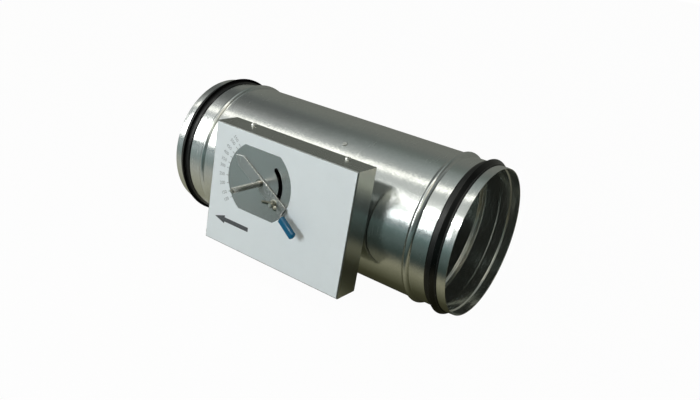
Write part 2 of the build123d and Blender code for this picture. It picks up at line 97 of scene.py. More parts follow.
def facing_out(points, faces):
    """Turns the faces of a closed shell round if its signed volume, the sum of a . (b x c) / 6, is negative."""
    a, b, c, d = (points[faces[:, k]] for k in range(4))
    volume = np.einsum("ij,ij->i", a, np.cross(b, c)).sum() + np.einsum("ij,ij->i", a, np.cross(c, d)).sum()
    return faces if volume > 0 else faces[:, ::-1]


def rounded_line(points, reach, steps=7):
    """A broken line whose inner corners are blended: each becomes the curve (1-t)^2 a + 2t(1-t) p + t^2 b,
    where a and b lie a reach before and after the corner p."""
    p = np.asarray(points, dtype=float)
    back = p[:-2] - p[1:-1]
    ahead = p[2:] - p[1:-1]
    size = np.broadcast_to(np.asarray(reach, dtype=float), (len(p) - 2,))[:, None]
    near = np.minimum(size, 0.49 * np.linalg.norm(back, axis=1, keepdims=True))
    far = np.minimum(size, 0.49 * np.linalg.norm(ahead, axis=1, keepdims=True))
    a = p[1:-1] + back / np.linalg.norm(back, axis=1, keepdims=True) * near
    b = p[1:-1] + ahead / np.linalg.norm(ahead, axis=1, keepdims=True) * far
    t = np.linspace(0, 1, steps)[None, :, None]
    curve = (1 - t) ** 2 * a[:, None] + 2 * t * (1 - t) * p[1:-1][:, None] + t**2 * b[:, None]
    return np.vstack([p[:1], curve.reshape(-1, 2), p[-1:]])


def held_line(line, hold=0.4, longest=9.0):
    """The same line with a point a hold away from both ends of each long run, and long runs divided evenly,
    so that smooth shading stays flat on the flat runs."""
    run = np.concatenate([[0], np.cumsum(np.linalg.norm(np.diff(line, axis=0), axis=1))])
    even = np.linspace(0, run[-1], max(2, int(run[-1] / longest)))
    long_run = np.diff(run) > 3 * hold
    spots = np.concatenate([run, even, run[:-1][long_run] + hold, run[1:][long_run] - hold])
    spots = np.unique(np.round(spots, 4))
    return np.stack([np.interp(spots, run, line[:, 0]), np.interp(spots, run, line[:, 1])], axis=1)


def line_normals(line):
    """Unit normals of a line in its plane: the tangent by central differences, turned a quarter turn."""
    tangent = np.gradient(line, axis=0)
    tangent /= np.linalg.norm(tangent, axis=1, keepdims=True)
    return np.stack([-tangent[:, 1], tangent[:, 0]], axis=1)


CASING_TURNS, SEAL_TURNS = 280, 300


def turned_ring(name, loop, turns):
    """A closed profile (x, r) carried round the duct axis: y = -r cos a, z = r sin a."""
    angle = np.linspace(0, 2 * pi, turns, endpoint=False)
    x = np.repeat(loop[:, 0][:, None], turns, axis=1)
    y = -loop[:, 1][:, None] * np.cos(angle)
    z = loop[:, 1][:, None] * np.sin(angle)
    points = np.stack([x, y, z], axis=-1).reshape(-1, 3)
    faces = facing_out(points, grid_faces(len(loop), turns, True, True))
    return mesh_piece(name, points, faces)


# ---------------------------------------------------------------- shader helpers

def feed_in(tree, socket, value):
    """Links a socket to another one, or sets its own value."""
    if isinstance(value, bpy.types.NodeSocket):
        tree.links.new(value, socket)
    else:
        socket.default_value = value


def put(tree, kind, **settings):
    """Adds a node; a setting that names an attribute sets it, any other is an input, a value or a socket.
    Inputs are written with underscores for spaces, or as i and their number."""
    made = tree.nodes.new(kind)
    attributes = [key for key in settings if hasattr(made, key)]
    for key in attributes:
        setattr(made, key, settings[key])
    for key in [key for key in settings if key not in attributes]:
        numbered = key[0] == "i" and key[1:].isdigit()
        feed_in(tree, made.inputs[int(key[1:]) if numbered else key.replace("_", " ")], settings[key])
    return made


def number(tree, how, a, b=0.0, clamp=False):
    """One arithmetic step on two values."""
    made = tree.nodes.new("ShaderNodeMath")
    made.operation = how
    made.use_clamp = clamp
    feed_in(tree, made.inputs[0], a)
    feed_in(tree, made.inputs[1], b)
    return made.outputs[0]


def times(tree, *values):
    """The product of several values."""
    product = values[0]
    for value in values[1:]:
        product = number(tree, "MULTIPLY", product, value)
    return product


def between(tree, value, low, high, to_low=0.0, to_high=1.0):
    """A value carried from one range to another and held at its ends."""
    made = put(tree, "ShaderNodeMapRange", i0=value, i1=low, i2=high, i3=to_low, i4=to_high)
    return made.outputs[0]


def blended(tree, share, a, b, how="MIX"):
    """Two colours blended by a share."""
    made = tree.nodes.new("ShaderNodeMix")
    made.data_type = "RGBA"
    made.blend_type = how
    feed_in(tree, made.inputs["Factor"], share)
    feed_in(tree, made.inputs[6], a)
    feed_in(tree, made.inputs[7], b)
    return made.outputs[2]


def effect(name, inputs, outputs):
    """An empty shader node group with named sockets."""
    tree = bpy.data.node_groups.new(name, "ShaderNodeTree")
    for label, kind, value in inputs:
        socket = tree.interface.new_socket(name=label, in_out="INPUT", socket_type=kind)
        if value is not None:
            socket.default_value = value
    for label, kind in outputs:
        tree.interface.new_socket(name=label, in_out="OUTPUT", socket_type=kind)
    return tree, tree.nodes.new("NodeGroupInput").outputs, tree.nodes.new("NodeGroupOutput").inputs


COLOUR, VALUE, VECTOR = "NodeSocketColor", "NodeSocketFloat", "NodeSocketVector"
EDGE_SAMPLES = 6


def make_zinc_coat():
    """Zinc on sheet: crystals of slightly different grey, broad cloudy smudges, and fine rolling lines that
    also give the height and the roughness."""
    tree, take, give = effect(
        "zinc coat",
        [
            ("Place", VECTOR, None), ("Light", COLOUR, (0.7, 0.7, 0.7, 1)), ("Dark", COLOUR, (0.5, 0.5, 0.5, 1)),
            ("Crystal Size", VALUE, 0.004), ("Crystal Share", VALUE, 0.3), ("Line Way", VECTOR, (1, 1, 1)),
            ("Gloss Low", VALUE, 0.15), ("Gloss High", VALUE, 0.35), ("Tilt", VALUE, 0.0), ("Facing", VECTOR, None),
        ],
        [("Colour", COLOUR), ("Roughness", VALUE), ("Height", VALUE), ("Normal", VECTOR)],
    )
    scale = number(tree, "DIVIDE", 1.0, take["Crystal Size"])
    bend = put(tree, "ShaderNodeTexNoise", Vector=take["Place"], Scale=160.0, Detail=2.0)
    swayed = put(tree, "ShaderNodeVectorMath", operation="MULTIPLY_ADD", i0=bend.outputs["Color"],
                 i1=(0.0016, 0.0016, 0.0016), i2=take["Place"])
    crystal = put(tree, "ShaderNodeTexVoronoi", Vector=swayed.outputs[0], Scale=scale)
    grey = put(tree, "ShaderNodeSeparateColor", Color=crystal.outputs["Color"])
    cloud = put(tree, "ShaderNodeTexNoise", Vector=take["Place"], Scale=22.0, Detail=5.0, Roughness=0.6)
    lined = put(tree, "ShaderNodeVectorMath", operation="MULTIPLY", i0=take["Place"], i1=take["Line Way"])
    line = put(tree, "ShaderNodeTexNoise", Vector=lined.outputs[0], Scale=900.0, Detail=3.0)
    tone = number(tree, "MULTIPLY", number(tree, "SUBTRACT", grey.outputs[0], 0.5), take["Crystal Share"])
    tone = number(tree, "ADD", tone, number(tree, "MULTIPLY", number(tree, "SUBTRACT", cloud.outputs[0], 0.5), 0.9))
    tone = number(tree, "ADD", tone, number(tree, "MULTIPLY", number(tree, "SUBTRACT", line.outputs[0], 0.5), 0.35))
    share = number(tree, "ADD", tone, 0.45, clamp=True)
    tree.links.new(blended(tree, share, take["Light"], take["Dark"]), give["Colour"])
    tree.links.new(between(tree, share, 0.1, 0.9, take["Gloss Low"], take["Gloss High"]), give["Roughness"])
    high = number(tree, "ADD", number(tree, "MULTIPLY", line.outputs[0], 0.5),
                  number(tree, "MULTIPLY", grey.outputs[1], 0.25))
    tree.links.new(high, give["Height"])
    lean = put(tree, "ShaderNodeVectorMath", operation="SUBTRACT", i0=crystal.outputs["Color"], i1=(0.5, 0.5, 0.5))
    lean = put(tree, "ShaderNodeVectorMath", operation="SCALE", i0=lean.outputs[0], Scale=take["Tilt"])
    lean = put(tree, "ShaderNodeVectorMath", operation="ADD", i0=lean.outputs[0], i1=take["Facing"])
    lean = put(tree, "ShaderNodeVectorMath", operation="NORMALIZE", i0=lean.outputs[0])
    tree.links.new(lean.outputs[0], give["Normal"])
    return tree


def make_dust():
    """Fine dust: patchy, and only where the surface faces up."""
    tree, take, give = effect(
        "settled dust",
        [("Place", VECTOR, None), ("Amount", VALUE, 0.2)],
        [("Mask", VALUE)],
    )
    facing = put(tree, "ShaderNodeNewGeometry")
    up = put(tree, "ShaderNodeSeparateXYZ", Vector=facing.outputs["Normal"])
    patch = put(tree, "ShaderNodeTexNoise", Vector=take["Place"], Scale=70.0, Detail=6.0, Roughness=0.7)
    speck = put(tree, "ShaderNodeTexNoise", Vector=take["Place"], Scale=1400.0, Detail=2.0)
    mask = times(tree, between(tree, up.outputs[2], 0.2, 0.95), between(tree, patch.outputs[0], 0.35, 0.7),
                 between(tree, speck.outputs[0], 0.3, 0.7))
    tree.links.new(number(tree, "MULTIPLY", mask, take["Amount"], clamp=True), give["Mask"])
    return tree


def make_moulded_grain():
    """Moulded skin: small pits and a faint cloud of tone."""
    tree, take, give = effect(
        "moulded grain",
        [("Place", VECTOR, None), ("Colour", COLOUR, (0.1, 0.1, 0.1, 1)), ("Worn Colour", COLOUR, (0.2, 0.2, 0.2, 1)),
         ("Grain Size", VALUE, 0.0006), ("Gloss Low", VALUE, 0.4), ("Gloss High", VALUE, 0.6)],
        [("Colour", COLOUR), ("Roughness", VALUE), ("Height", VALUE)],
    )
    scale = number(tree, "DIVIDE", 1.0, take["Grain Size"])
    pits = put(tree, "ShaderNodeTexNoise", Vector=take["Place"], Scale=scale, Detail=2.0)
    cloud = put(tree, "ShaderNodeTexNoise", Vector=take["Place"], Scale=60.0, Detail=5.0, Roughness=0.65)
    share = between(tree, cloud.outputs[0], 0.42, 0.78, 0.0, 0.7)
    tree.links.new(blended(tree, share, take["Colour"], take["Worn Colour"]), give["Colour"])
    tree.links.new(between(tree, cloud.outputs[0], 0.3, 0.7, take["Gloss Low"], take["Gloss High"]), give["Roughness"])
    tree.links.new(pits.outputs[0], give["Height"])
    return tree


def make_eased_facing():
    """The way a surface faces, along each axis, with its edges eased by a radius: the depth, without its sign, is
    Front, and Face is the mask of what is flat to the front."""
    tree, take, give = effect(
        "eased facing",
        [("Radius", VALUE, 0.0005)],
        [("Along", VALUE), ("Front", VALUE), ("Up", VALUE), ("Face", VALUE)],
    )
    eased = put(tree, "ShaderNodeBevel", samples=EDGE_SAMPLES, Radius=take["Radius"])
    along, depth, up = put(tree, "ShaderNodeSeparateXYZ", Vector=eased.outputs[0]).outputs
    front = number(tree, "ABSOLUTE", depth)
    tree.links.new(along, give["Along"])
    tree.links.new(front, give["Front"])
    tree.links.new(up, give["Up"])
    tree.links.new(between(tree, front, 0.9, 0.99), give["Face"])
    return tree


def make_flattened_normal():
    """A normal, of which a share is led back to the plain surface."""
    tree, take, give = effect(
        "flattened normal",
        [("Normal", VECTOR, None), ("Share", VALUE, 0.5)],
        [("Normal", VECTOR)],
    )
    plain = put(tree, "ShaderNodeNewGeometry").outputs["Normal"]
    mix = put(tree, "ShaderNodeMix", data_type="VECTOR", i0=take["Share"], i4=take["Normal"], i5=plain)
    tree.links.new(mix.outputs[1], give["Normal"])
    return tree


ZINC_COAT = make_zinc_coat()
DUST = make_dust()
MOULDED_GRAIN = make_moulded_grain()
EASED_FACING = make_eased_facing()
FLATTENED_NORMAL = make_flattened_normal()


def finish(name):
    """A material with its tree, its shader and the object's own coordinates."""
    made = bpy.data.materials.new(name)
    made.use_nodes = True
    tree = made.node_tree
    shader = tree.nodes["Principled BSDF"]
    place = tree.nodes.new("ShaderNodeTexCoord").outputs["Object"]
    return made, tree, shader, place


def placed(tree, group, **sockets):
    """A shared effect placed in a material with its own values."""
    made = tree.nodes.new("ShaderNodeGroup")
    made.node_tree = group
    for key, value in sockets.items():
        feed_in(tree, made.inputs[key.replace("_", " ")], value)
    return made.outputs


def raised(tree, shader, height, strength, distance, normal=None):
    """A bump from a height, laid over another one where given."""
    made = put(tree, "ShaderNodeBump", Height=height, Strength=strength, Distance=distance)
    if normal is not None:
        tree.links.new(normal, made.inputs["Normal"])
    tree.links.new(made.outputs[0], shader.inputs["Normal"])
    return made.outputs[0]


def zinc_finish(name, light, dark, size, share, way, low, high,
                dust=0.1, wave=0.0, bump=0.00002, tilt=0.0, metal=1.0, edge=0.0):
    """Zinc coated steel: the shared coat with its tilted crystals, dust on what faces up, a slow wave in the sheet,
    and edges that are eased by a small radius."""
    made, tree, shader, place = finish(name)
    if edge:
        facing = put(tree, "ShaderNodeBevel", samples=EDGE_SAMPLES, Radius=edge)
    else:
        facing = put(tree, "ShaderNodeNewGeometry")
    coat = placed(tree, ZINC_COAT, Place=place, Light=(*light, 1), Dark=(*dark, 1), Crystal_Size=size,
                  Crystal_Share=share, Line_Way=way, Gloss_Low=low, Gloss_High=high, Tilt=tilt,
                  Facing=facing.outputs["Normal"])
    fluff = placed(tree, DUST, Place=place, Amount=dust)
    tree.links.new(blended(tree, fluff["Mask"], coat["Colour"], (0.55, 0.53, 0.49, 1)), shader.inputs["Base Color"])
    rough = number(tree, "ADD", coat["Roughness"], number(tree, "MULTIPLY", fluff["Mask"], 0.5), clamp=True)
    tree.links.new(rough, shader.inputs["Roughness"])
    shader.inputs["Metallic"].default_value = metal
    normal = coat["Normal"]
    if wave:
        slow = put(tree, "ShaderNodeTexNoise", Vector=place, Scale=26.0, Detail=1.0)
        normal = raised(tree, shader, slow.outputs[0], 1.0, wave, normal)
    raised(tree, shader, coat["Height"], 0.6, bump, normal)
    return made


def opened(made):
    """The tree and the shader of a material, to lay more over it."""
    return made.node_tree, made.node_tree.nodes["Principled BSDF"]


def relay(tree, shader, name, change):
    """Puts a change between a shader's input and what feeds it now."""
    feed = shader.inputs[name].links[0].from_socket
    tree.links.new(change(feed), shader.inputs[name])


def tinted(tree, shader, share, colour, how="MIX"):
    """Lays a colour over a shader's base colour by a share."""
    relay(tree, shader, "Base Color", lambda feed: blended(tree, share, feed, (*colour, 1), how))


def roughened(tree, shader, share, amount):
    """Adds a share of an amount to a shader's roughness."""
    more = number(tree, "MULTIPLY", share, amount)
    relay(tree, shader, "Roughness", lambda feed: number(tree, "ADD", feed, more, clamp=True))


def flattened(tree, shader, share):
    """Leads a share of a shader's normal back to the plain surface."""
    relay(tree, shader, "Normal", lambda feed: placed(tree, FLATTENED_NORMAL, Normal=feed, Share=share)["Normal"])


def matt_face(tree, shader, face, metal, tint):
    """A front face that is less metallic, so that shadows show on it, and tinted to keep its tone."""
    tinted(tree, shader, face, tint, "MULTIPLY")
    tree.links.new(between(tree, face, 0.0, 1.0, SHEET_METAL, metal), shader.inputs["Metallic"])


def dotted(tree, vector, way):
    """How far a vector reaches along a way."""
    return put(tree, "ShaderNodeVectorMath", operation="DOT_PRODUCT", i0=vector, i1=way).outputs["Value"]


def tube_finish():
    """Rolled tube: the zinc coat outside, a more even one inside tinted darker as painted shade, with painted highlight
    lines where the wall slopes, a weld seam along the back, and short scratches round the outside where it was handled."""
    made = zinc_finish("tube zinc", (0.76, 0.775, 0.765), (0.61, 0.625, 0.615), 0.0014, 0.34, (1, 0.04, 0.04),
                       0.13, 0.25, dust=0.05, wave=0.0003, bump=0.000006, tilt=0.03)
    tree, shader = opened(made)
    place = tree.nodes.new("ShaderNodeTexCoord").outputs["Object"]
    facing = put(tree, "ShaderNodeNewGeometry").outputs["Normal"]
    axis_free = put(tree, "ShaderNodeVectorMath", operation="MULTIPLY", i0=place, i1=(0, 1, 1))
    from_axis = put(tree, "ShaderNodeVectorMath", operation="NORMALIZE", i0=axis_free.outputs[0])
    out = dotted(tree, from_axis.outputs[0], facing)
    inside = between(tree, out, -0.5, 0.1, 1.0, 0.0)
    outside = between(tree, inside, 0.0, 1.0, 1.0, 0.0)
    painted_ring_highlight = times(tree, inside, between(tree, out, -0.985, -0.94))
    spot = put(tree, "ShaderNodeSeparateXYZ", Vector=place)
    turn = number(tree, "ARCTAN2", spot.outputs[2], spot.outputs[1])
    off_seam = number(tree, "ABSOLUTE", number(tree, "SUBTRACT", turn, SEAM_TURN))
    seam = times(tree, between(tree, off_seam, 0.006, 0.016, 1.0, 0.0), outside)
    long_way = put(tree, "ShaderNodeVectorMath", operation="MULTIPLY", i0=place, i1=(1500, 45, 45))
    scratch = put(tree, "ShaderNodeTexNoise", Vector=long_way.outputs[0], Scale=1.0, Detail=1.0)
    patch = put(tree, "ShaderNodeTexNoise", Vector=place, Scale=34.0, Detail=2.0)
    mark = times(tree, between(tree, scratch.outputs[0], 0.66, 0.74), between(tree, patch.outputs[0], 0.5, 0.62),
                 outside)
    # Painted shade: the inside of the tube is tinted darker and greener than the outside.
    tinted(tree, shader, inside, (0.60, 0.635, 0.62))
    # Painted highlight: the sloping inside wall is tinted bright to give the lines of reflected light.
    tinted(tree, shader, painted_ring_highlight, (0.90, 0.90, 0.84))
    tinted(tree, shader, times(tree, seam, 0.6), (0.42, 0.42, 0.40))
    tinted(tree, shader, times(tree, mark, 0.3), (0.86, 0.87, 0.86))
    relay(tree, shader, "Roughness", lambda feed: times(tree, feed, outside))
    roughened(tree, shader, inside, 0.18)
    roughened(tree, shader, seam, 0.2)
    roughened(tree, shader, mark, 0.1)
    tree.links.new(between(tree, inside, 0.0, 1.0, 1.0, 0.93), shader.inputs["Metallic"])
    flattened(tree, shader, times(tree, inside, 0.7))
    return made


def cover_finish():
    """Folded cover: sheet zinc with a painted shade on its flanks, and bends that are rougher and painted dark as
    painted shade.
    """
    made = zinc_finish("cover zinc", *SHEET_TONES, **SHEET_LOOK)
    tree, shader = opened(made)
    way = placed(tree, EASED_FACING, Radius=0.0004)
    painted_flank_shade = between(tree, way["Front"], 0.05, 0.2, 1.0, 0.0)
    bend = times(tree, between(tree, way["Front"], 0.1, 0.3), between(tree, way["Front"], 0.9, 0.985, 1.0, 0.0))
    # Painted shade: the flanks of the cover are darkened.
    tinted(tree, shader, painted_flank_shade, (0.82, 0.82, 0.80), "MULTIPLY")
    matt_face(tree, shader, way["Face"], 0.74, (0.775, 0.79, 0.79))
    # Painted shade: the bends are tinted dark; they are also made rougher below.
    tinted(tree, shader, times(tree, bend, 0.85), (0.16, 0.165, 0.155))
    roughened(tree, shader, bend, 0.3)
    return made


HUB_RING = (0.0057, 0.0060)
HIGHLIGHT_START, HIGHLIGHT_SIDE = (-0.0325, -0.0305), (-0.003, 0.0)


def lever_finish():
    """Punched lever: sheet zinc on its faces, painted shade on the cut flanks, a painted highlight along the upper edge
    that stops short of the pointer's tip, edges facing the outlet painted darker and rougher, and no eased edge at the
    hub hole."""
    made = zinc_finish("lever zinc", (0.62, 0.645, 0.635), (0.50, 0.52, 0.51), 0.003, 0.10, (1, 1, 0.08),
                       0.20, 0.34, bump=0.000012, tilt=0.015, metal=SHEET_METAL, edge=0.0006)
    tree, shader = opened(made)
    way = placed(tree, EASED_FACING, Radius=0.0010)
    place = tree.nodes.new("ShaderNodeTexCoord").outputs["Object"]
    hub = (SHAFT_X * MM, 0, SHAFT_Z * MM)
    from_hub = put(tree, "ShaderNodeVectorMath", operation="SUBTRACT", i0=place, i1=hub).outputs[0]
    lengthwise = dotted(tree, from_hub, (LEVER_WAY[0], 0, LEVER_WAY[1]))
    crosswise = dotted(tree, from_hub, (-LEVER_WAY[1], 0, LEVER_WAY[0]))
    off_axis = put(tree, "ShaderNodeVectorMath", operation="MULTIPLY", i0=from_hub, i1=(1, 0, 1))
    off_axis = put(tree, "ShaderNodeVectorMath", operation="LENGTH", i0=off_axis.outputs[0]).outputs["Value"]
    cut = between(tree, way["Front"], 0.15, 0.35, 1.0, 0.0)
    edge = between(tree, way["Front"], 0.94, 0.99, 1.0, 0.0)
    painted_edge_highlight = times(tree, between(tree, way["Front"], 0.3, 0.5), edge, between(tree, way["Up"], 0.05, 0.3),
                 between(tree, way["Along"], -0.3, 0.0), between(tree, lengthwise, *HIGHLIGHT_START),
                 between(tree, crosswise, *HIGHLIGHT_SIDE))
    painted_tip_shade = times(tree, edge, between(tree, way["Along"], -0.45, -0.1, 1.0, 0.0))
    matt_face(tree, shader, way["Face"], 0.5, (0.60, 0.612, 0.608))
    roughened(tree, shader, painted_tip_shade, 0.35)
    # Painted highlight: the upper edge is tinted nearly white.
    tinted(tree, shader, painted_edge_highlight, (0.97, 0.95, 0.88))
    # Painted shade: the edges facing the outlet are tinted darker.
    tinted(tree, shader, painted_tip_shade, (0.24, 0.25, 0.245))
    # Painted shade: the cut flanks are tinted nearly black, as the shadow beside the edge.
    tinted(tree, shader, cut, (0.06, 0.062, 0.058))
    flattened(tree, shader, between(tree, off_axis, *HUB_RING, 1.0, 0.0))
    return made


def seal_finish():
    """Seal rubber: a slightly grey band, and a lip that is smoother and painted blacker as painted shade where it
    slopes to the rim.
    """
    made = moulded_finish("seal rubber", (0.004, 0.004, 0.0039), (0.008, 0.008, 0.0078), 0.0004, 0.34, 0.50,
                          bump=0.00002, dust=0.03, gloss=0.42)
    tree, shader = opened(made)
    facing = put(tree, "ShaderNodeNewGeometry").outputs["Normal"]
    along = number(tree, "ABSOLUTE", put(tree, "ShaderNodeSeparateXYZ", Vector=facing).outputs[0])
    lip = between(tree, along, 0.2, 0.45)
    # Painted shade: where the lip slopes to the rim it is tinted blacker.
    tinted(tree, shader, lip, (0.0008, 0.0008, 0.0008))
    roughened(tree, shader, lip, -0.22)
    return made


def moulded_finish(name, colour, worn, size, low, high, bump=0.00003, dust=0.0, gloss=0.5):
    """Moulded plastic or rubber: the shared grain with a bump of its own size."""
    made, tree, shader, place = finish(name)
    skin = placed(tree, MOULDED_GRAIN, Place=place, Colour=(*colour, 1), Worn_Colour=(*worn, 1), Grain_Size=size,
                  Gloss_Low=low, Gloss_High=high)
    fluff = placed(tree, DUST, Place=place, Amount=dust)
    tree.links.new(blended(tree, fluff["Mask"], skin["Colour"], (0.5, 0.48, 0.44, 1)), shader.inputs["Base Color"])
    tree.links.new(skin["Roughness"], shader.inputs["Roughness"])
    shader.inputs["Specular IOR Level"].default_value = gloss
    raised(tree, shader, skin["Height"], 0.5, bump)
    return made


def ink_finish(name, colour, thin):
    """Printed ink: a little thinner in small patches."""
    made, tree, shader, place = finish(name)
    patch = put(tree, "ShaderNodeTexNoise", Vector=place, Scale=700.0, Detail=4.0)
    share = between(tree, patch.outputs[0], 0.5, 0.75)
    tree.links.new(blended(tree, share, (*colour, 1), (*thin, 1)), shader.inputs["Base Color"])
    tree.links.new(between(tree, patch.outputs[0], 0.3, 0.7, 0.4, 0.6), shader.inputs["Roughness"])
    return made


SEAM_TURN = -0.35
SHEET_METAL = 0.96
SHEET_TONES = ((0.58, 0.605, 0.595), (0.47, 0.49, 0.48), 0.003, 0.16, (0.05, 1, 1), 0.18, 0.30)
SHEET_LOOK = dict(dust=0.10, wave=0.0002, bump=0.000008, tilt=0.02, metal=SHEET_METAL, edge=0.0004)
tube_zinc = tube_finish()
sheet_zinc = zinc_finish("sheet zinc", *SHEET_TONES, **SHEET_LOOK)
cover_zinc = cover_finish()
lever_zinc = lever_finish()
shaft_steel = zinc_finish("shaft steel", (0.45, 0.435, 0.40), (0.42, 0.405, 0.37), 0.002, 0.04, (1, 0.05, 1),
                          0.20, 0.28, bump=0.000001, edge=0.0003)
fixing_zinc = zinc_finish("fixing zinc", (0.78, 0.78, 0.75), (0.62, 0.62, 0.58), 0.0015, 0.12, (1, 1, 1),
                          0.22, 0.38, bump=0.00001, edge=0.0003)
wing_zinc = zinc_finish("wing nut zinc", (0.50, 0.49, 0.42), (0.15, 0.14, 0.10), 0.0016, 0.30, (1, 1, 1),
                        0.07, 0.15, bump=0.000004, edge=0.0005)
spring_wire = zinc_finish("spring wire", (0.42, 0.42, 0.43), (0.28, 0.28, 0.29), 0.002, 0.1, (0.2, 1, 0.2),
                          0.25, 0.4, bump=0.00001)
seal_rubber = seal_finish()
grip_plastic = moulded_finish("grip plastic", (0.005, 0.095, 0.19), (0.008, 0.115, 0.225), 0.0004, 0.08, 0.12,
                              bump=0.000003, gloss=0.3)
bush_plastic = moulded_finish("bush plastic", (0.70, 0.69, 0.64), (0.60, 0.58, 0.52), 0.0006, 0.38, 0.55)
damper_plastic = moulded_finish("damper plastic", (0.05, 0.05, 0.055), (0.09, 0.09, 0.095), 0.0005, 0.4, 0.6)
label_film = moulded_finish("label film", (0.765, 0.80, 0.815), (0.74, 0.775, 0.79), 0.0009, 0.34, 0.46,
                            bump=0.000006)
arrow_ink = ink_finish("arrow ink", (0.065, 0.068, 0.075), (0.11, 0.115, 0.12))
numeral_ink = ink_finish("numeral ink", (0.06, 0.062, 0.065), (0.10, 0.103, 0.107))


# ---------------------------------------------------------------- pieces

def make_casing():
    """Casing wall: the middle line of the sheet from rim to rim, with its corners blended, offset half a sheet
    to each side, closed by a half round at each rim and carried round the duct axis."""
    t = np.linspace(0, 1, 9)[1:-1]
    foot_in, foot_out = np.array([-INSERTION, SPIGOT_R]), np.array([-BEAD_END, BODY_R])
    arch = foot_in + (foot_out - foot_in) * t[:, None]
    arch[:, 1] += 4 * t * (1 - t) * (BODY_R + BEAD_HEIGHT - (SPIGOT_R + BODY_R) / 2)
    end = np.vstack([
        [(0, SPIGOT_R - RIM_DRAW), (-4.6, SPIGOT_R), (-10, SPIGOT_R), (-10.7, GROOVE_R), (-22.1, GROOVE_R),
         (-22.8, SPIGOT_R), (-INSERTION, SPIGOT_R)],
        arch,
        [(-BEAD_END, BODY_R)],
    ])
    far = end[::-1].copy()
    far[:, 0] = -LENGTH - far[:, 0]
    middle = np.vstack([end, far]) - [0, SHEET / 2]
    middle[0, 0] -= SHEET / 2
    middle[-1, 0] += SHEET / 2
    line = held_line(rounded_line(middle, 0.55, 4), longest=16.0)
    out = line_normals(line)
    out *= np.sign(out[:1, 1])
    turn = np.linspace(0, pi, 9)[1:-1, None]
    far_cap = line[-1] + SHEET / 2 * (np.cos(turn) * out[-1] + np.sin(turn) * [-1, 0])
    near_cap = line[0] + SHEET / 2 * (-np.cos(turn) * out[0] + np.sin(turn) * [1, 0])
    loop = np.vstack([line + out * SHEET / 2, far_cap, (line - out * SHEET / 2)[::-1], near_cap])
    piece = turned_ring("duct_tube", loop, CASING_TURNS)
    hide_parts("duct_casing")
    return piece, tube_zinc, "galvanised_tube"


def make_seal(name, node, mirrored):
    """Lip seal: the closed outline of the base band and its lip, with every corner blended, carried round the
    duct axis."""
    foot, band, top = GROOVE_R + 0.05, SPIGOT_R + 0.9, SPIGOT_R + 4.4
    rest = SPIGOT_R + 0.1
    outline = np.array([
        (-10.75, foot), (-10.75, rest), (-9.5, rest), (-9.7, band), (-11.25, band + 0.2), (-15.25, top), (-16.55, top),
        (-13.95, band + 0.3), (-21.6, band + 0.25), (-23.3, rest), (-22.05, rest), (-22.05, foot),
    ])
    start = (outline[-1] + outline[0]) / 2
    reach = [0.3, 0.1, 0.25, 0.35, 0.5, 0.6, 0.6, 0.9, 1.2, 0.3, 0.1, 0.3]
    loop = held_line(rounded_line(np.vstack([start, outline, start]), reach))[:-1]
    if mirrored:
        loop = loop * [-1, 1] + [-LENGTH, 0]
    piece = turned_ring(name, loop, SEAL_TURNS)
    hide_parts(node)
    return piece, seal_rubber, "seal_rubber"


def closed_loft(name, rows):
    """A closed skin over rows of points: four-sided faces between neighbouring rows, and one flat face at each end."""
    count, around = rows.shape[:2]
    sides = grid_faces(count, around, False, True).tolist()
    ends = [list(range(around)), list(range((count - 1) * around, count * around))]
    mesh = bpy.data.meshes.new(name)
    mesh.from_pydata((rows.reshape(-1, 3) * MM).tolist(), [], sides + ends)
    shell = bmesh.new()
    shell.from_mesh(mesh)
    bmesh.ops.recalc_face_normals(shell, faces=shell.faces)
    shell.to_mesh(mesh)
    shell.free()
    mesh.polygons.foreach_set("use_smooth", np.ones(len(mesh.polygons), dtype=bool))
    mesh.update()
    piece = bpy.data.objects.new(name, mesh)
    bpy.context.collection.objects.link(piece)
    return piece


TAIL_START, TAIL_RISE, TAIL_TILT = 43.4, 121.0, np.radians(8.0)
GRIP_HALF_WIDTH, GRIP_HALF_DEPTH, GRIP_POWER = 4.3, 2.9, 0.75
GRIP_INSET, TAIL_MIDDLE = 2.0, 0.75
OPEN_ROUND, FREE_ROUND, FREE_START = 0.7, 2.2, 21.8


def make_grip():
    """Grip sleeve: a rounded rectangle, |u/p|^n + |v/q|^n = 1, carried along the lever's tail; its size follows a
    quarter round at the free end and a small one at the open end."""
    run = np.concatenate([OPEN_ROUND * (1 - np.cos(np.linspace(0, pi / 2, 6))), np.linspace(2, 21, 10),
                          FREE_START + FREE_ROUND * np.sin(np.linspace(0, pi / 2, 12))])
    opening = np.clip(run / OPEN_ROUND, 0, 1)
    closing = np.clip((run - FREE_START) / FREE_ROUND, 0, 1)
    swell = np.minimum(np.sqrt(np.clip(1 - (1 - opening) ** 2, 0.62, 1)), np.sqrt(np.clip(1 - closing**2, 0.16, 1)))
    turn = np.linspace(0, 2 * pi, 48, endpoint=False)
    u = GRIP_HALF_WIDTH * np.sign(np.cos(turn)) * np.abs(np.cos(turn)) ** GRIP_POWER
    v = GRIP_HALF_DEPTH * np.sign(np.sin(turn)) * np.abs(np.sin(turn)) ** GRIP_POWER
    forward = (run + GRIP_INSET)[:, None]
    outward = v * swell[:, None] + TAIL_MIDDLE
    reach = TAIL_START + forward * np.cos(TAIL_TILT) - outward * np.sin(TAIL_TILT)
    rise = TAIL_RISE + forward * np.sin(TAIL_TILT) + outward * np.cos(TAIL_TILT)
    across = u * swell[:, None]
    rows = np.stack([
        SHAFT_X + reach * LEVER_WAY[0] - across * LEVER_WAY[1], -rise,
        SHAFT_Z + reach * LEVER_WAY[1] + across * LEVER_WAY[0],
    ], axis=-1)
    piece = closed_loft("grip_sleeve", rows)
    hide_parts("lever_grip")
    return piece, grip_plastic, "grip_plastic"


SPRING_R, WIRE_R = 9.5, 0.7
CRANK_BACK, COIL_START, COIL_END, HUB_FRONT = 91.62, 95.02, 102.77, 106.17
COIL_MID = (COIL_START + COIL_END) / 2
INNER_LEG, MID_TURN, OUTER_LEG = np.radians([240.0, 690.0, 1140.0])


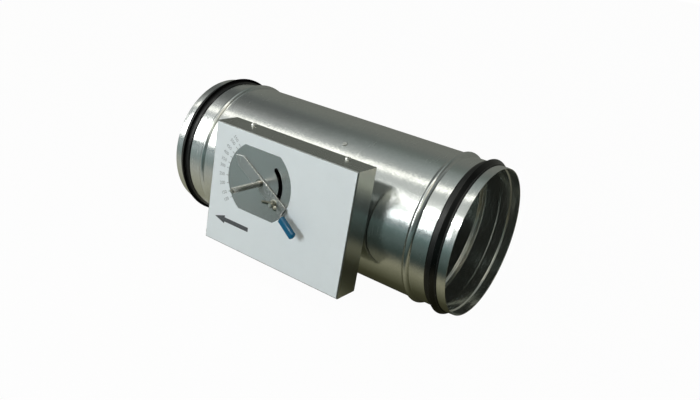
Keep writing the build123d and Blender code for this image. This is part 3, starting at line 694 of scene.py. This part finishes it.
def make_spring_half(name, turns, depths):
    """Half of the torsion spring: a leg and a coil drawn as a broken line on the unrolled cylinder (turn * radius,
    depth), with its corner blended, and wrapped round the shaft; the wire, radius * (cos b * radial + sin b * side),
    is carried along it."""
    unrolled = held_line(rounded_line(np.stack([np.array(turns) * SPRING_R, depths], axis=1), 1.1), longest=0.7)
    turn, depth = unrolled[:, 0] / SPRING_R, unrolled[:, 1]
    radial = np.stack([np.cos(turn), np.zeros_like(turn), np.sin(turn)], axis=1)
    path = SPRING_R * radial + np.stack([np.full_like(turn, SHAFT_X), -depth, np.full_like(turn, SHAFT_Z)], axis=1)
    ahead = np.gradient(path, axis=0)
    side = np.cross(radial, ahead / np.linalg.norm(ahead, axis=1, keepdims=True))
    b = np.linspace(0, 2 * pi, 16, endpoint=False)[None, :, None]
    rows = path[:, None] + WIRE_R * (np.cos(b) * radial[:, None] + np.sin(b) * side[:, None])
    piece = closed_loft(name, rows)
    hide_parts("torsion_spring")
    return piece, spring_wire, "spring_steel"


INK_DEPTH = 0.02


def flat_print(name, u, v, corners):
    """Flat shapes on the label, given across (u) and up (v) from mid length and the duct axis."""
    points = np.stack([MID + u, np.full_like(u, -LABEL_FRONT - INK_DEPTH), v], axis=-1)
    return mesh_piece(name, points, corners)


ARROW_TAIL, ARROW_NECK, ARROW_TIP, ARROW_V = -31.6, -65.3, -79.3, -38.2
STEM_HALF, HEAD_HALF, TIP_HALF = 2.4, 4.65, 0.01


def make_arrow():
    """Flow arrow: a stem and a head, as four-sided strips between a lower and an upper line."""
    u = np.array([ARROW_TAIL, ARROW_NECK, ARROW_NECK, ARROW_TIP])
    half = np.array([STEM_HALF, STEM_HALF, HEAD_HALF, TIP_HALF])
    v = np.full(4, ARROW_V)
    lower, upper = np.stack([u, v - half], 1), np.stack([u, v + half], 1)
    points = np.vstack([lower, upper])
    corners = np.array([(0, 4, 5, 1), (2, 6, 7, 3)])[:, ::-1]
    return flat_print("flow_arrow", points[:, 0], points[:, 1], corners), arrow_ink, "label_film"


SCALE_TURNS = np.array([137.3, 143.8, 152.4, 160.4, 169.0, 176.6, 186.6, 197.1, 208.3, 216.4])
SCALE_NUMBERS = ("550", "500", "450", "400", "350", "300", "250", "200", "150", "100")
TICK_START, TICK_END, TICK_HALF_WIDTH = 43.6, 47.0, 0.25
NUMERAL_SIZE, NUMERAL_THINNING, NUMERAL_R = 5.0, -0.05, 49.8


def make_ticks():
    """Scale ticks: one thin bar on the radius at each turn of the scale."""
    turn = np.radians(SCALE_TURNS)[:, None]
    r = np.array([TICK_START, TICK_END, TICK_END, TICK_START])
    w = np.array([-1, -1, 1, 1]) * TICK_HALF_WIDTH
    u = SHAFT_X - MID + r * np.cos(turn) - w * np.sin(turn)
    v = SHAFT_Z + r * np.sin(turn) + w * np.cos(turn)
    corners = np.arange(4 * len(turn)).reshape(-1, 4)
    return flat_print("scale_ticks", u.ravel(), v.ravel(), corners), numeral_ink, "label_film"


def make_numerals():
    """Scale numerals: each number's outline filled, laid along the radius with its end at the numerals' radius."""
    all_points, all_corners, base = [], [], 0
    for turn, number_text in zip(np.radians(SCALE_TURNS), SCALE_NUMBERS):
        curve = bpy.data.curves.new("numeral", "FONT")
        curve.body = number_text
        curve.size = NUMERAL_SIZE
        curve.offset = NUMERAL_THINNING
        curve.align_x = "RIGHT"
        curve.align_y = "CENTER"
        curve.resolution_u = 3
        drawn = bpy.data.objects.new("numeral", curve)
        bpy.context.collection.objects.link(drawn)
        mesh = bpy.data.meshes.new_from_object(drawn)
        mesh.calc_loop_triangles()
        co = np.empty(len(mesh.vertices) * 3)
        mesh.vertices.foreach_get("co", co)
        tri = np.empty(len(mesh.loop_triangles) * 3, dtype=np.int64)
        mesh.loop_triangles.foreach_get("vertices", tri)
        along, across = co.reshape(-1, 3)[:, 0] - NUMERAL_R, co.reshape(-1, 3)[:, 1]
        c, s = np.cos(turn - pi), np.sin(turn - pi)
        u = SHAFT_X - MID + along * c - across * s
        v = SHAFT_Z + along * s + across * c
        all_points.append(np.stack([u, v], 1))
        all_corners.append(tri.reshape(-1, 3) + base)
        base += len(u)
        bpy.data.objects.remove(drawn)
        bpy.data.curves.remove(curve)
        bpy.data.meshes.remove(mesh)
    points = np.vstack(all_points)
    piece = flat_print("scale_numerals", points[:, 0], points[:, 1], np.vstack(all_corners))
    return piece, numeral_ink, "label_film"


MADE = [
    make_casing(),
    make_seal("inlet_lip_seal", "inlet_seal", False),
    make_seal("outlet_lip_seal", "outlet_seal", True),
    make_arrow(),
    make_ticks(),
    make_numerals(),
]
ON_LEVER = [make_grip()]
SPRING = [
    make_spring_half("spring_inner_half", (INNER_LEG, INNER_LEG, MID_TURN), (CRANK_BACK, COIL_START, COIL_MID)),
    make_spring_half("spring_outer_half", (MID_TURN, OUTER_LEG, OUTER_LEG), (COIL_MID, COIL_END, HUB_FRONT)),
]
for piece, material, slot_name in MADE + ON_LEVER + SPRING:
    piece.data.materials.append(material)
for piece, _, _ in MADE:
    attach(piece, "casing")
for piece, _, _ in ON_LEVER:
    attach(piece, "lever")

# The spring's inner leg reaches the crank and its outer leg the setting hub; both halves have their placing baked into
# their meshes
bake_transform(SPRING[0][0])
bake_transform(SPRING[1][0])

# Finishes of the pieces that keep their solid shape
NODE_FINISH = {
    "base_plate": sheet_zinc, "control_cover": cover_zinc, "damper_blade": sheet_zinc, "blade_straps": sheet_zinc,
    "scale_label": label_film, "blade_shaft": shaft_steel, "setting_hub": shaft_steel, "spring_crank": shaft_steel,
    "stop_pins": shaft_steel, "setting_lever": lever_zinc, "lever_grip": grip_plastic, "cover_screws": fixing_zinc,
    "plate_rivets": fixing_zinc, "blade_rivets": fixing_zinc, "casing_plug": fixing_zinc, "clamp_bolt": fixing_zinc,
    "clamp_washer": fixing_zinc, "damper_screws": fixing_zinc, "crank_screw": fixing_zinc, "wing_nut": wing_zinc,
    "front_bush": bush_plastic, "rear_bush": bush_plastic, "damper_housing": damper_plastic,
    "damper_rotor": damper_plastic, "damper_lid": damper_plastic, "torsion_spring": spring_wire,
    "duct_casing": tube_zinc, "inlet_seal": seal_rubber, "outlet_seal": seal_rubber,
}
for node_name, material in NODE_FINISH.items():
    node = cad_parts[node_name]
    node.data.materials.clear()
    node.data.materials.append(material)


# ---------------------------------------------------------------- studio

def seen_directly(tree):
    """One where the camera sees a surface, also in a mirror or through glass."""
    path = tree.nodes.new("ShaderNodeLightPath").outputs
    mirrored = number(tree, "MAXIMUM", path["Is Glossy Ray"], path["Is Transmission Ray"])
    return number(tree, "MAXIMUM", path["Is Camera Ray"], mirrored)


def floor_finish():
    """Pale floor: matt white that catches the shadow, lifted to the white of the background where it is seen."""
    made = bpy.data.materials.new("pale floor")
    made.use_nodes = True
    tree = made.node_tree
    tree.nodes.clear()
    end = tree.nodes.new("ShaderNodeOutputMaterial")
    seen = seen_directly(tree)
    matt = put(tree, "ShaderNodeBsdfDiffuse", Color=(0.95, 0.95, 0.95, 1))
    glow = put(tree, "ShaderNodeEmission", Color=(1, 1, 1, 1), Strength=1.0)
    share = number(tree, "MULTIPLY", seen, FLOOR_GLOW)
    mix = put(tree, "ShaderNodeMixShader", i0=share, i1=matt.outputs[0], i2=glow.outputs[0])
    tree.links.new(mix.outputs[0], end.inputs[0])
    return made


def tone_ramp(tree, value, stops):
    """A row of tones along a value; each stop is a place in metres and its colour."""
    low, high = stops[0][0], stops[-1][0]
    ramp = put(tree, "ShaderNodeValToRGB", i0=between(tree, value, low, high))
    marks = ramp.color_ramp.elements
    while len(marks) < len(stops):
        marks.new(1.0)
    for mark, (at, colour) in zip(marks, stops):
        mark.position = (at - low) / (high - low)
        mark.color = (*colour, 1)
    return ramp.outputs[0]


def card_finish(name, axis, stops, beyond=None, edge=(0, 1), slant=0.0):
    """Reflection card: a plain glow whose tones run along one axis, with other tones beyond an edge across it,
    which may run aslant."""
    made = bpy.data.materials.new(name)
    made.use_nodes = True
    tree = made.node_tree
    tree.nodes.clear()
    end = tree.nodes.new("ShaderNodeOutputMaterial")
    place = put(tree, "ShaderNodeSeparateXYZ", Vector=tree.nodes.new("ShaderNodeTexCoord").outputs["Object"]).outputs
    tone = tone_ramp(tree, place[axis], stops)
    if beyond:
        across = number(tree, "SUBTRACT", place[0], number(tree, "MULTIPLY", place[1], slant))
        tone = blended(tree, between(tree, across, *edge), tone, tone_ramp(tree, place[axis], beyond))
    glow = put(tree, "ShaderNodeEmission", Color=tone, Strength=1.0)
    tree.links.new(glow.outputs[0], end.inputs[0])
    return made


def flat_card(name, corner, side_a, side_b, material):
    """A flat stage card from a corner and two sides, all in metres: corner + a * one side + b * the other."""
    a, b = np.meshgrid([0.0, 1.0], [0.0, 1.0], indexing="ij")
    points = np.array(corner) + a[..., None] * np.array(side_a) + b[..., None] * np.array(side_b)
    piece = mesh_piece(name, points.reshape(-1, 3) / MM, grid_faces(2, 2, False, False))
    piece.data.materials.append(material)
    return piece


FLOOR_Z, FLOOR_GLOW = -0.0836, 0.97
flat_card("floor", (-40, -40, FLOOR_Z), (80, 0, 0), (0, 80, 0), floor_finish())

# The floor card's tones are darkest under the tube: a painted shadow of the tube, seen only in reflections.
floor_tones = [
    (-2.2, (0.27, 0.36, 0.36)), (-0.7, (0.12, 0.18, 0.17)), (-0.27, (0.093, 0.127, 0.118)),
    (-0.165, (0.040, 0.060, 0.052)), (-0.140, (0.06, 0.07, 0.06)), (-0.107, (0.30, 0.29, 0.20)),
    (-0.076, (0.155, 0.153, 0.096)), (-0.055, (0.055, 0.055, 0.028)), (-0.02, (0.028, 0.027, 0.015)),
    (0.06, (0.03, 0.03, 0.02)), (0.14, (0.13, 0.13, 0.10)), (0.6, (0.16, 0.16, 0.14)), (2.0, (0.17, 0.175, 0.155)),
]
left_floor_tones = [
    (-2.2, (0.50, 0.55, 0.56)), (-0.7, (0.34, 0.40, 0.40)), (-0.345, (0.265, 0.33, 0.315)), (-0.26, (0.26, 0.31, 0.30)),
    (-0.149, (0.42, 0.43, 0.38)), (-0.101, (0.40, 0.40, 0.32)), (-0.0727, (0.33, 0.33, 0.25)),
    (-0.052, (0.28, 0.28, 0.20)), (-0.02, (0.50, 0.50, 0.46)), (0.10, (0.25, 0.25, 0.20)), (2.0, (0.17, 0.175, 0.155)),
]
back_tones = [
    (-0.1, (0.17, 0.175, 0.155)), (1.2, (0.20, 0.21, 0.185)), (2.2, (0.19, 0.20, 0.18)), (3.1, (0.16, 0.18, 0.165)),
]
ceiling_tones = [
    (-2.2, (0.60, 0.63, 0.60)), (-0.6, (0.50, 0.53, 0.51)), (0.15, (0.36, 0.40, 0.385)), (1.4, (0.17, 0.20, 0.18)),
    (2.0, (0.16, 0.18, 0.165)),
]
left_ceiling_tones = [
    (-2.2, (0.60, 0.63, 0.62)), (-0.5, (0.44, 0.46, 0.45)), (-0.1, (0.33, 0.34, 0.33)), (0.3, (0.18, 0.19, 0.18)),
    (1.2, (0.12, 0.13, 0.125)), (2.0, (0.15, 0.16, 0.15)),
]
front_tones = [
    (-0.1, (0.20, 0.27, 0.27)), (0.18, (0.26, 0.31, 0.31)), (0.5, (0.55, 0.60, 0.58)), (0.9, (0.68, 0.72, 0.68)),
    (1.6, (0.62, 0.65, 0.60)), (3.1, (0.60, 0.63, 0.60)),
]
right_front_tones = [
    (-0.1, (0.045, 0.055, 0.052)), (0.6, (0.12, 0.14, 0.135)), (1.2, (0.40, 0.42, 0.36)), (1.7, (0.95, 0.97, 0.80)),
    (3.1, (0.60, 0.63, 0.60)),
]
right_tones = [(-0.1, (0.10, 0.115, 0.11)), (3.1, (0.30, 0.32, 0.31))]
right_ceiling_tones = [
    (-2.2, (1.0, 0.95, 0.80)), (-0.7, (1.0, 0.95, 0.80)), (-0.3, (0.16, 0.17, 0.16)), (2.0, (0.10, 0.11, 0.10)),
]
# The cards make a room that only mirrored rays see
WIDE, DEEP, TALL = (6, 0, 0), (0, 4.2, 0), (0, 0, 3.2)
LEFT, RIGHT, FRONT, BACK, TOP = -3, 3, -2.2, 2.0, 3.1
cards = [
    flat_card("floor_card", (LEFT, FRONT, FLOOR_Z + 0.0003), WIDE, DEEP,
              card_finish("floor card tones", 1, floor_tones, left_floor_tones, (-0.12, -0.22), 0.45)),
    flat_card("back_card", (LEFT, BACK, FLOOR_Z), WIDE, TALL, card_finish("back card tones", 2, back_tones)),
    flat_card("ceiling_card", (LEFT, FRONT, TOP), (3.6, 0, 0), DEEP,
              card_finish("ceiling card tones", 1, ceiling_tones, left_ceiling_tones, (-1.6, -2.6))),
    flat_card("right_ceiling_card", (0.6, FRONT, TOP), (2.4, 0, 0), DEEP,
              card_finish("right ceiling card tones", 1, right_ceiling_tones)),
    flat_card("front_card", (LEFT, FRONT, FLOOR_Z), WIDE, TALL,
              card_finish("front card tones", 2, front_tones, right_front_tones, (0.2, 0.7))),
    flat_card("left_card", (LEFT, FRONT, FLOOR_Z), DEEP, TALL, card_finish("left card tones", 1, left_ceiling_tones)),
    flat_card("right_card", (RIGHT, FRONT, FLOOR_Z), DEEP, TALL, card_finish("right card tones", 2, right_tones)),
]
for card in cards:
    card.visible_camera = False
    card.visible_diffuse = False
    card.visible_transmission = False
    card.visible_shadow = False

# The sky is white where it is seen, and a weak warm fill for the matt pieces
FILL_STRENGTH, FILL_COLOUR = 0.30, (1, 0.955, 0.80)
world = bpy.data.worlds.new("studio")
world.use_nodes = True
bpy.context.scene.world = world
sky = world.node_tree
seen = seen_directly(sky)
sky_light = sky.nodes["Background"].inputs
sky.links.new(between(sky, seen, 0.0, 1.0, FILL_STRENGTH, 1.0), sky_light["Strength"])
sky.links.new(blended(sky, seen, (*FILL_COLOUR, 1), (1, 1, 1, 1)), sky_light["Color"])


def lamp(name, place, aim, width, height, radiance, colour=(1, 1, 1), mirrored=True):
    """Soft box: a rectangle turned to its aim; its power is its radiance times pi times its area. It is either
    mirrored in the bright pieces or lights the matt ones."""
    data = bpy.data.lights.new(name, "AREA")
    data.shape = "RECTANGLE"
    data.size, data.size_y = width, height
    data.energy = radiance * pi * width * height
    data.color = colour
    made = bpy.data.objects.new(name, data)
    made.rotation_euler = (Vector(aim) - Vector(place)).to_track_quat("-Z", "Y").to_euler()
    made.location = place
    made.visible_camera = False
    made.visible_diffuse = not mirrored
    made.visible_glossy = mirrored
    bpy.context.collection.objects.link(made)
    return made


LAMP_Y = -1.7
FRONT_BOXES = [
    ("left_box", -1.95, 1.08, 1.1, 1.62, 4.9, (1, 0.985, 0.96)),
    ("cool_box", -0.98, 0.45, 0.76, 0.46, 1.8, (0.95, 1, 1)),
    ("warm_strip", -0.95, 1.27, 1.4, 0.26, 1.3, (1, 0.97, 0.86)),
    ("edge_box", -0.36, 1.05, 0.34, 0.3, 8.5, (1, 1, 1)),
    ("grip_box", -0.67, 1.13, 0.14, 0.14, 90.0, (1, 1, 1)),
]
lamp("key_box", (-0.45, LAMP_Y, 0.44), (-0.155, -0.12, -0.01), 0.5, 0.5, 17.3, (0.862, 0.947, 1.0), mirrored=False)
for box_name, x, z, width, height, radiance, colour in FRONT_BOXES:
    lamp(box_name, (x, LAMP_Y, z), (x, 0, z), width, height, radiance, colour)
top_strip = lamp("top_strip", (-0.95, -0.535, 1.6), (-0.95, -0.535, 0), 2.9, 0.27, 1.3, (1, 0.97, 0.88))
top_strip.rotation_euler.z = 0.12

# The camera of the photograph: the rows are its right, its up and its back
CAMERA_PLACE = (0.2478, -0.6624, 0.2653)
CAMERA_WAYS = ((0.8048, 0.5709, 0.1625), (-0.3201, 0.1869, 0.9288), (0.4998, -0.7995, 0.3332))
eye = bpy.data.cameras.new("photo_camera")
eye.lens = 37.95
eye.sensor_width = 36.0
eye.sensor_fit = "HORIZONTAL"
camera = bpy.data.objects.new("photo_camera", eye)
camera.matrix_world = Matrix.Translation(CAMERA_PLACE) @ Matrix(CAMERA_WAYS).transposed().to_4x4()
bpy.context.collection.objects.link(camera)
bpy.context.scene.camera = camera
bpy.context.scene.view_settings.view_transform = "Standard"
